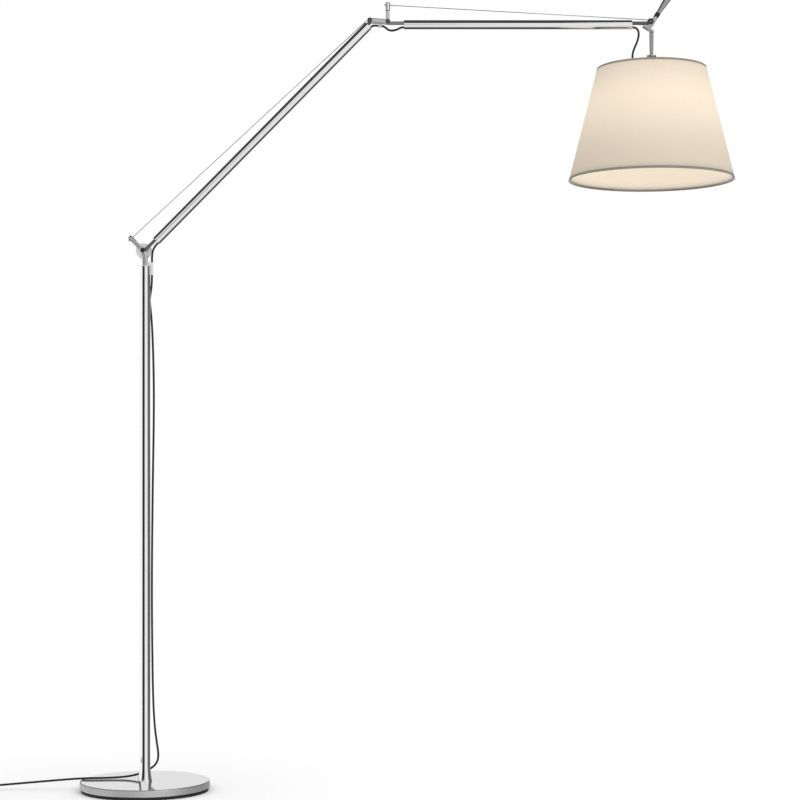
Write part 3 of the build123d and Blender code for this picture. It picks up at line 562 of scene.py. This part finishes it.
def bulb_glass():
    """The frosted glass of the lit bulb."""
    material = grained_material("FrostedGlow", colours().glass, (0.3, 0.45), 0.0, 2500.0, 0.04)
    inputs = shader_of(material).inputs
    inputs["Emission Color"].default_value = (*colours().glow, 1)
    inputs["Emission Strength"].default_value = 0.6
    return material


def shade_cloth():
    """Cream woven cloth with a painted glow that stands for lamplight through it, brightest near two thirds of its
    height.
    """
    material, tree, shader = node_tree("ShadeCloth")
    centre = {"Vector": object_place(tree), "Location": (-SHADE_X, 0, -SHADE_BOTTOM)}
    centred = add_node(tree, "Mapping", centre).outputs["Vector"]
    parts = add_node(tree, "SeparateXYZ", (centred,)).outputs
    angle = maths(tree, "ARCTAN2", parts["Y"], parts["X"])
    down = maths(tree, "SINE", maths(tree, "MULTIPLY", angle, THREADS_ROUND))
    rounds = maths(tree, "SINE", maths(tree, "MULTIPLY", parts["Z"], THREADS_UP))
    weave = maths(tree, "MULTIPLY", down, rounds)
    flat = add_node(tree, "Mapping", {"Vector": centred, "Scale": (1, 1, 7)}).outputs["Vector"]
    slubs = add_node(tree, "TexNoise", {"Vector": flat, "Scale": 90, "Detail": 5}).outputs["Fac"]
    height = maths(tree, "ADD", maths(tree, "MULTIPLY", weave, 0.5), slubs)
    share = maths(tree, "DIVIDE", parts["Z"], SHADE_TOP - SHADE_BOTTOM)
    # Painted glow: an emission ramp by height that stands for the lamplight through the cloth
    glow = Vector(colours().glow)
    stops = [(position, glow * level) for position, level in PAINTED_GLOW_LEVELS]
    values = {
        "Base Color": scaled(tree, colours().cloth, map_range(tree, slubs, (0.25, 0.75), 0.93)),
        "Roughness": 0.85, "Specular IOR Level": 0.15, "Emission Strength": 1.0,
        "Emission Color": colour_ramp(tree, share, stops, "CARDINAL"),
        "Normal": bumped(tree, height, 0.25, WEAVE_DEPTH),
    }
    for key, value in values.items():
        feed(tree, shader.inputs[key], value)
    return material


def shade_lining():
    """The pale lining inside the shade, lit by the bulb, with an even painted glow added."""
    material = grained_material("ShadeLining", colours().lining, (0.6, 0.75), 0.0, 1200.0, 0.05, 0.1, 0.2,
                                (1, 1, 3))
    inputs = shader_of(material).inputs
    # Painted glow: an even emission that stands for more of the bulb's light on the lining
    inputs["Emission Color"].default_value = PAINTED_LINING_GLOW
    inputs["Emission Strength"].default_value = 0.30
    return material


def trim_cloth(name, tone):
    """The folded band along an edge of the shade."""
    return grained_material(name, tone, (0.75, 0.9), 0.0, 1500.0, 0.25, 0.3, 0.2, (1, 1, 6))


def shade_radius(height):
    """The shade's outside radius at a height."""
    share = (height - SHADE_BOTTOM) / (SHADE_TOP - SHADE_BOTTOM)
    return SHADE_BOTTOM_RADIUS + (SHADE_TOP_RADIUS - SHADE_BOTTOM_RADIUS) * share


class LAMP_OT_finishes(Operator):
    """Give every carried-over node its finish"""

    bl_idname = "lamp.finishes"
    bl_label = "Finishes"

    def execute(self, context):
        for name, node in NODES.items():
            node.data.materials.clear()
            node.data.materials.append(self.finish(name))
        return {"FINISHED"}

    def finish(self, name):
        """A node's finish: its slot's, or its own where it is worked differently."""
        for names, finish, tone, rough, radius in WORKED_FINISHES:
            if name in names:
                return soft_edged(finish, getattr(colours(), tone), rough, radius)
        if name == "base_cover":
            return base_metal()
        if name == "head_pivot":
            return self.pivot_cap("HeadPivot", [HEAD])
        if name == "elbow_pivots":
            return self.pivot_cap("ElbowPivots", [ELBOW, UPPER_PIVOT])
        if name == "tension_knob":
            return grained_material("WhiteKnob", colours().knob, (0.3, 0.4), 0.0, 1500.0, 0.03)
        return finish_for(SLOT_OF[name])

    def pivot_cap(self, name, centres):
        """Black pivot caps with the bare end of the pin at their middle."""
        if name in bpy.data.materials:
            return bpy.data.materials[name]
        material = grained_material(name, colours().black, *SATIN_BLACK[2:])
        tree = material.node_tree
        inputs = shader_of(material).inputs
        black = inputs["Base Color"].links[0].from_socket
        flat = add_node(tree, "VectorMath", (object_place(tree), (1, 0, 1)), "MULTIPLY").outputs["Vector"]
        nearest = 1.0
        for centre in centres:
            away = add_node(tree, "VectorMath", (flat, (centre.x, 0, centre.z)), "DISTANCE").outputs["Value"]
            nearest = maths(tree, "MINIMUM", nearest, away)
        bare = map_range(tree, nearest, (PIN_END_RADIUS, PIN_END_RADIUS - 0.0004))
        feed(tree, inputs["Base Color"], mixed_colour(tree, bare, black, (*colours().polished, 1)))
        feed(tree, inputs["Metallic"], bare)
        return material


class LAMP_OT_shade(Operator):
    """Make the fabric shade with its edge bands"""

    bl_idname = "lamp.shade"
    bl_label = "Shade"

    def execute(self, context):
        thickness = sizes().cloth_thickness
        tall = SHADE_TOP - SHADE_BOTTOM
        heights = [SHADE_BOTTOM + tall * row / SHADE_ROWS for row in range(SHADE_ROWS + 1)]
        outline = [(shade_radius(height) - thickness / 2, height) for height in heights]
        mesh = turned_mesh("shade_cloth", outline, (SHADE_X, 0), SHADE_STEPS, closed=False)
        cloth = new_piece("shade_cloth", mesh)
        wall = cloth.modifiers.new("Wall", "SOLIDIFY")
        wall.thickness = thickness
        wall.offset = 0
        wall.material_offset = 1
        cloth.data.materials.append(shade_cloth())
        cloth.data.materials.append(shade_lining())
        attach(cloth, "head")
        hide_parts("shade")
        bands = [
            self.band("shade_top_band", SHADE_TOP, -sizes().top_trim, "TopBand", colours().top_trim),
            self.band("shade_bottom_band", SHADE_BOTTOM, sizes().bottom_trim, "BottomBand",
                      colours().bottom_trim),
        ]
        return {"FINISHED"}

    def band(self, name, edge, height, finish, tone):
        """A folded band over one edge of the cloth, proud of it on both sides."""
        thickness = sizes().cloth_thickness
        far = edge + height
        inner = edge + height / 4
        outline = [
            (shade_radius(far) + TRIM_PROUD, far), (shade_radius(edge) + TRIM_PROUD, edge),
            (shade_radius(edge) - thickness / 2, edge - math.copysign(TRIM_PROUD, height)),
            (shade_radius(edge) - thickness - TRIM_PROUD, edge),
            (shade_radius(inner) - thickness - TRIM_PROUD, inner),
        ]
        piece = new_piece(name, turned_mesh(name, outline, (SHADE_X, 0), SHADE_STEPS))
        piece.data.materials.append(trim_cloth(finish, tone))
        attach(piece, "head")
        return piece


class LAMP_OT_handle(Operator):
    """Make the turned handle that tilts the shade"""

    bl_idname = "lamp.handle"
    bl_label = "Handle"

    def execute(self, context):
        steps = 14
        outline = [(0, HANDLE_STUD), (STUD_RADIUS, HANDLE_STUD), (STUD_RADIUS, HANDLE_START)]
        for step in range(steps + 1):
            share = step / steps
            swell = share + HANDLE_BELLY * share * (1 - share)
            along = HANDLE_START + (HANDLE_END - HANDLE_ROUND - HANDLE_START) * share
            outline.append((HANDLE_NECK + (HANDLE_SWELL - HANDLE_NECK) * swell, along))
        for degrees in range(10, 100, 10):
            turn = math.radians(degrees)
            outline.append((HANDLE_SWELL - HANDLE_ROUND + HANDLE_ROUND * math.cos(turn),
                            HANDLE_END - HANDLE_ROUND + HANDLE_ROUND * math.sin(turn)))
        outline.append((0, HANDLE_END))
        mesh = turned_mesh("turned_handle", outline, (0, 0), 72, closed=False, place=HANDLE_PLACE)
        mesh.set_sharp_from_angle(angle=math.radians(50))
        piece = new_piece("turned_handle", mesh)
        piece.data.materials.append(grained_material("SatinHandle", colours().head, (0.2, 0.3), 1.0, 700.0))
        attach(piece, "head")
        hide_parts("handle")
        return {"FINISHED"}


class LAMP_OT_wires(Operator):
    """Make the balance wires"""

    bl_idname = "lamp.wires"
    bl_label = "Balance wires"

    def execute(self, context):
        self.arm_wire("lower", "swivel", "lower_arm", LOWER_PIVOT, LOWER_ANGLE, LOWER_LENGTH)
        self.arm_wire("upper", "elbow", "upper_arm", UPPER_PIVOT, 0.0, UPPER_LENGTH)
        return {"FINISHED"}

    def arm_wire(self, name, lever_body, arm_body, pivot, angle, length):
        """One wire: its stop behind the lever, its straight run, and its turn round the roller."""
        radius = sizes().wire_diameter / 2
        slope = math.atan2(WIRE_HEIGHT, length) - math.asin(ROLLER_RADIUS / math.hypot(length, WIRE_HEIGHT))

        def at(along, up):
            """A point of the arm."""
            return arm_point(pivot, angle, along, up)

        def on_roller(turn):
            """A point of the wire on the roller, by its angle from the arm's direction."""
            return at(length + ROLLER_RADIUS * math.cos(turn), ROLLER_RADIUS * math.sin(turn))

        touch_turn = math.pi / 2 - slope
        touch = on_roller(touch_turn)
        behind = LEVER_RADIUS + STOP_BEHIND
        start = at(-behind, WIRE_HEIGHT + behind * math.tan(slope))
        run = new_piece(name + "_wire_run", rod_mesh(name + "_wire_run", start, touch, radius))
        run.data.materials.append(finish_for("wire"))
        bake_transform(run)

        along = (touch - start).normalized()
        ends = (start - along * STOP_PAST_END, start + along * STOP_ON_WIRE)
        stop = new_piece(name + "_wire_stop", rod_mesh(name + "_wire_stop", *ends, STOP_RADIUS, 20))
        stop.data.materials.append(finish_for("steel"))
        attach(stop, lever_body)

        bends = 10
        turns = [touch_turn + (-math.pi / 2 - touch_turn) * step / bends for step in range(bends + 1)]
        points = [on_roller(turn) for turn in turns] + [at(SPRING_END, -ROLLER_RADIUS)]
        wrap, _ = tube_piece(name + "_wire_return", points, 2 * radius, "POLY")
        wrap.data.materials.append(finish_for("wire"))
        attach(wrap, arm_body)
        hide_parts(name + "_wire")


class LAMP_OT_joint_cords(Operator):
    """Make the cord's loops at the joints"""

    bl_idname = "lamp.joint_cords"
    bl_label = "Joint cords"

    def execute(self, context):
        self.lower_loop()
        self.elbow_loops()
        self.head_loop()
        return {"FINISHED"}

    def lower_loop(self):
        """From the clip at the post's top into the lower arm."""
        clip_x, _, clip_bottom = HANGING_ROUTE[0]
        clip_top = clip_bottom + CLIP_HEIGHT
        tube = arm_point(LOWER_PIVOT, LOWER_ANGLE, ROOT_GAP, CORD_DROP)
        points = [
            Vector((clip_x, 0, clip_bottom)), Vector((clip_x, 0, clip_top + 0.007)),
            Vector((clip_x + 0.0007, 0, clip_top + 0.024)),
            arm_point(LOWER_PIVOT, LOWER_ANGLE, ROOT_GAP - 0.015, CORD_DROP), tube,
        ]
        self.loop("lower_joint_cord", points, "swivel", "lower_arm",
                  Vector((clip_x, 0, clip_top + 0.004)), tube, 0.087)

    def elbow_loops(self):
        """From the lower arm to the link's clip, and from there into the upper arm."""
        along = arm_point(Vector(), LINK_ANGLE, 1.0)
        clip_lead = arm_point(ELBOW, LINK_ANGLE, LINK_CLIP_LEAD, LINK_CORD_DROP)
        clip_end = arm_point(ELBOW, LINK_ANGLE, LINK_CLIP_END, LINK_CORD_DROP)
        follow = arm_point(ELBOW, LINK_ANGLE, LINK_CLIP_PAST, LINK_CORD_DROP)
        tip = arm_point(LOWER_PIVOT, LOWER_ANGLE, LOWER_TUBE_END, CORD_DROP)
        lead_out = arm_point(LOWER_PIVOT, LOWER_ANGLE, LOWER_TUBE_END + 0.0065, CORD_DROP)
        self.loop("elbow_cord_in", [tip, lead_out, clip_lead, clip_end], "lower_arm", "elbow", tip,
                  clip_end - along * 0.008)
        root = arm_point(UPPER_PIVOT, 0.0, ROOT_GAP, CORD_DROP)
        points = [
            clip_end, follow, follow + Vector((0.012, 0, -0.012)), root + Vector((-0.019, 0, -0.007)),
            root + Vector((-0.008, 0, 0)), root,
        ]
        self.loop("elbow_cord_out", points, "elbow", "upper_arm", clip_end, root, 0.062)

    def head_loop(self):
        """From the upper arm down into the side of the lampholder's cup."""
        tip = arm_point(UPPER_PIVOT, 0.0, UPPER_TUBE_END, CORD_DROP)
        cup_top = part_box("lampholder_cup")[1][2]
        entry = Vector((SHADE_X - CUP_ENTRY_RADIUS, 0, cup_top - CUP_ENTRY_DROP))
        points = [
            tip, tip + Vector((0.012, 0, 0)), tip + Vector((0.019, 0, -0.015)),
            tip + Vector((0.0145, 0, -0.036)), tip + Vector((0.004, 0, -0.058)),
            tip + Vector((0.0005, 0, -0.078)), entry + Vector((-0.023, 0, 0.009)),
            entry + Vector((-0.012, 0, 0)), entry,
        ]
        self.loop("head_cord", points, "upper_arm", "head", tip + Vector((0.010, 0, -0.004)), entry, 0.138)

    def loop(self, name, points, first_body, second_body, start, end, length=None):
        """A loop of cord between two bodies, made as a fixed tube."""
        diameter = sizes().cord_diameter
        piece, path = tube_piece(name + "_loop", points, diameter)
        piece.data.materials.append(finish_for("cord"))
        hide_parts(name)
        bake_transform(piece)


class LAMP_OT_mains_cord(Operator):
    """Make the hanging cord, the foot switch's cord and the coil"""

    bl_idname = "lamp.mains_cord"
    bl_label = "Mains cord"

    def execute(self, context):
        diameter = sizes().cord_diameter
        hanging, path = tube_piece("mains_cord_run", HANGING_ROUTE, diameter)
        hanging.data.materials.append(finish_for("cord"))
        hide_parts("mains_cord")
        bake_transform(hanging)

        coiled, path = tube_piece("coiled_cord", self.coil_route(), diameter, resolution=3)
        coiled.data.materials.append(finish_for("cord"))
        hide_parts("cord_coil", "switch_cord", "plug_cord")
        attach(coiled, "stand")
        self.tie()
        return {"FINISHED"}

    def tie(self):
        """The strap that holds the coil's turns together."""
        place = Matrix.Translation(COIL_CENTRE) @ Matrix.Rotation(math.radians(-90), 4, "Z")
        piece = new_piece("coil_tie", strap_mesh("coil_tie", place))
        piece.data.materials.append(trim_cloth("TieStrap", colours().black))
        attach(piece, "stand")
        return piece

    def coil_route(self):
        """From the switch into the coil's turns, and out of them to the plug."""
        steps = 16
        last = len(COIL_LANES) - 1
        route = list(SWITCH_ROUTE)
        for step in range(2, len(COIL_LANES) * steps + steps // 2):
            place = step / steps
            lane = min(int(place), last)
            share = max(0.0, min(1.0, (place - lane - LANE_HELD) / (1 - LANE_HELD)))
            radius, height = (here * (1 - share) + there * share
                              for here, there in zip(COIL_LANES[lane], COIL_LANES[min(lane + 1, last)]))
            turn = -2 * math.pi * place
            point = COIL_CENTRE + Vector((radius * math.cos(turn), radius * math.sin(turn), height))
            route.append(tuple(point))
        return route + PLUG_ROUTE


class LAMP_OT_switch(Operator):
    """Make the foot switch's spring"""

    bl_idname = "lamp.switch"
    bl_label = "Foot switch"

    def execute(self, context):
        low, high = (Vector(corner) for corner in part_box("switch_spring"))
        wire = 0.001
        turns = 4
        steps = 16
        middle = (low + high) / 2
        radius = (high.x - low.x - wire) / 2
        rise = high.z - low.z - wire
        points = []
        for step in range(turns * steps + 1):
            turn = 2 * math.pi * step / steps
            height = low.z + wire / 2 + rise * step / (turns * steps)
            points.append((middle.x + radius * math.cos(turn), middle.y + radius * math.sin(turn), height))
        piece, _ = tube_piece("switch_coil", points, wire, resolution=2)
        piece.data.materials.append(finish_for("steel"))
        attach(piece, "stand")
        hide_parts("switch_spring")
        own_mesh(piece)
        return {"FINISHED"}


class LAMP_OT_stage(Operator):
    """Make the floor, the light and the camera"""

    bl_idname = "lamp.stage"
    bl_label = "Stage"

    def execute(self, context):
        self.floor()
        self.world(context.scene)
        self.lights(context.scene)
        self.camera(context.scene)
        context.scene.view_settings.view_transform = "Standard"
        return {"FINISHED"}

    def floor(self):
        """A plain white floor that keeps the lamp's soft shadow."""
        bm = bmesh.new()
        bmesh.ops.create_grid(bm, x_segments=1, y_segments=1, size=30)
        floor = new_piece("floor", mesh_from(bm, "floor", False))
        material, tree, shader = node_tree("WhiteFloor")
        away = add_node(tree, "VectorMath", (object_place(tree),), "LENGTH").outputs["Value"]
        level = map_range(tree, away, (0.3, 1.4), 0.04, 0.16)
        seen = add_node(tree, "LightPath").outputs["Is Camera Ray"]
        values = {
            "Base Color": (0.93, 0.93, 0.93, 1), "Roughness": 0.9, "Specular IOR Level": 0.0,
            "Emission Color": WHITE, "Emission Strength": maths(tree, "MULTIPLY", seen, level),
        }
        for key, value in values.items():
            feed(tree, shader.inputs[key], value)
        floor.data.materials.append(material)
        floor.visible_glossy = False

    def world(self, scene):
        """White to the camera, even light on the lamp, and dark studio cards in its reflections."""
        world = bpy.data.worlds.new("Studio")
        scene.world = world
        world.use_nodes = True
        tree = world.node_tree
        tree.nodes.clear()
        place = add_node(tree, "TexCoord").outputs["Generated"]
        parts = add_node(tree, "SeparateXYZ", (place,)).outputs
        azimuth = maths(tree, "ARCTAN2", parts["X"], maths(tree, "MULTIPLY", parts["Y"], -1))
        round_share = map_range(tree, azimuth, (-math.pi, math.pi))
        height_share = map_range(tree, maths(tree, "ARCSINE", parts["Z"]), (-math.pi / 2, math.pi / 2))
        rows = mixed_colour(tree, map_range(tree, parts["Y"], FRONT_TO_BACK),
                            self.cards(tree, height_share, FRONT_CARDS, 180),
                            self.cards(tree, height_share, BACK_CARDS, 180))
        studio = mixed_colour(tree, self.cards(tree, height_share, SIDE_REACH, 180), rows,
                              self.cards(tree, round_share, SIDE_CARDS, 360))
        plain = add_node(tree, "Background", {"Color": WHITE, "Strength": EVEN_LIGHT}).outputs["Background"]
        white = add_node(tree, "Background", {"Color": WHITE}).outputs["Background"]
        mirrored = add_node(tree, "Background", {"Color": studio}).outputs["Background"]
        rays = add_node(tree, "LightPath").outputs
        direct = add_node(tree, "MixShader", (rays["Is Camera Ray"], plain, white)).outputs["Shader"]
        both = add_node(tree, "MixShader", (rays["Is Glossy Ray"], direct, mirrored)).outputs["Shader"]
        add_node(tree, "OutputWorld", {"Surface": both})

    def cards(self, tree, share, stops, span):
        """Grey cards over a span of degrees that is centred on zero."""
        return colour_ramp(tree, share, [(degree / span + 0.5, (level,) * 3) for degree, level in stops])

    def lights(self, scene):
        """A soft key from the upper right, and the bulb's own light inside the shade."""
        key = bpy.data.lights.new("key", "AREA")
        key.energy = 45
        key.size = 3
        key_object = bpy.data.objects.new("key", key)
        key_object.location = (3.2, -3.0, 4.2)
        aim = Vector((0.8, 0, 1.2)) - key_object.location
        key_object.rotation_euler = aim.to_track_quat("-Z", "Y").to_euler()
        scene.collection.objects.link(key_object)
        bulb = bpy.data.lights.new("bulb_light", "POINT")
        bulb.energy = 0.12
        bulb.color = colours().glow
        bulb.shadow_soft_size = 0.03
        bulb_object = bpy.data.objects.new("bulb_light", bulb)
        bulb_object.location = (SHADE_X, 0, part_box("bulb")[0][2] - 0.04)
        scene.collection.objects.link(bulb_object)

    def camera(self, scene):
        """The photograph's camera: level, with the view shifted up."""
        camera = bpy.data.cameras.new("camera")
        camera.sensor_width = 36
        camera.lens = 89.3
        camera.shift_y = 0.0875
        holder = bpy.data.objects.new("camera", camera)
        holder.location = (0.650, -5.06, 0.817)
        holder.rotation_euler = (math.pi / 2, 0, 0)
        scene.collection.objects.link(holder)
        scene.camera = holder


OPERATORS = (LAMP_OT_finishes, LAMP_OT_shade, LAMP_OT_handle, LAMP_OT_wires, LAMP_OT_joint_cords,
             LAMP_OT_mains_cord, LAMP_OT_switch, LAMP_OT_stage)


class LAMP_PT_panel(Panel):
    """The lamp's pieces, sizes and colours"""

    bl_label = "Floor Lamp"
    bl_idname = "LAMP_PT_panel"
    bl_space_type = "VIEW_3D"
    bl_region_type = "UI"
    bl_category = "Lamp"

    def draw(self, context):
        for settings in (context.scene.lamp_sizes, context.scene.lamp_colours):
            for name in settings.__annotations__:
                self.layout.prop(settings, name)
        for operator in OPERATORS:
            self.layout.operator(operator.bl_idname)


CLASSES = (LampSizes, LampColours, *OPERATORS, LAMP_PT_panel)


def register():
    """Adds the lamp's classes and settings."""
    for cls in CLASSES:
        bpy.utils.register_class(cls)
    bpy.types.Scene.lamp_sizes = PointerProperty(type=LampSizes)
    bpy.types.Scene.lamp_colours = PointerProperty(type=LampColours)


def unregister():
    """Removes them again."""
    del bpy.types.Scene.lamp_colours
    del bpy.types.Scene.lamp_sizes
    for cls in reversed(CLASSES):
        bpy.utils.unregister_class(cls)


def main():
    """Builds the lamp's pieces in order."""
    register()
    bpy.ops.lamp.finishes()
    bpy.ops.lamp.shade()
    bpy.ops.lamp.handle()
    bpy.ops.lamp.wires()
    bpy.ops.lamp.joint_cords()
    bpy.ops.lamp.mains_cord()
    bpy.ops.lamp.switch()
    bpy.ops.lamp.stage()


if __name__ == "__main__":
    main()
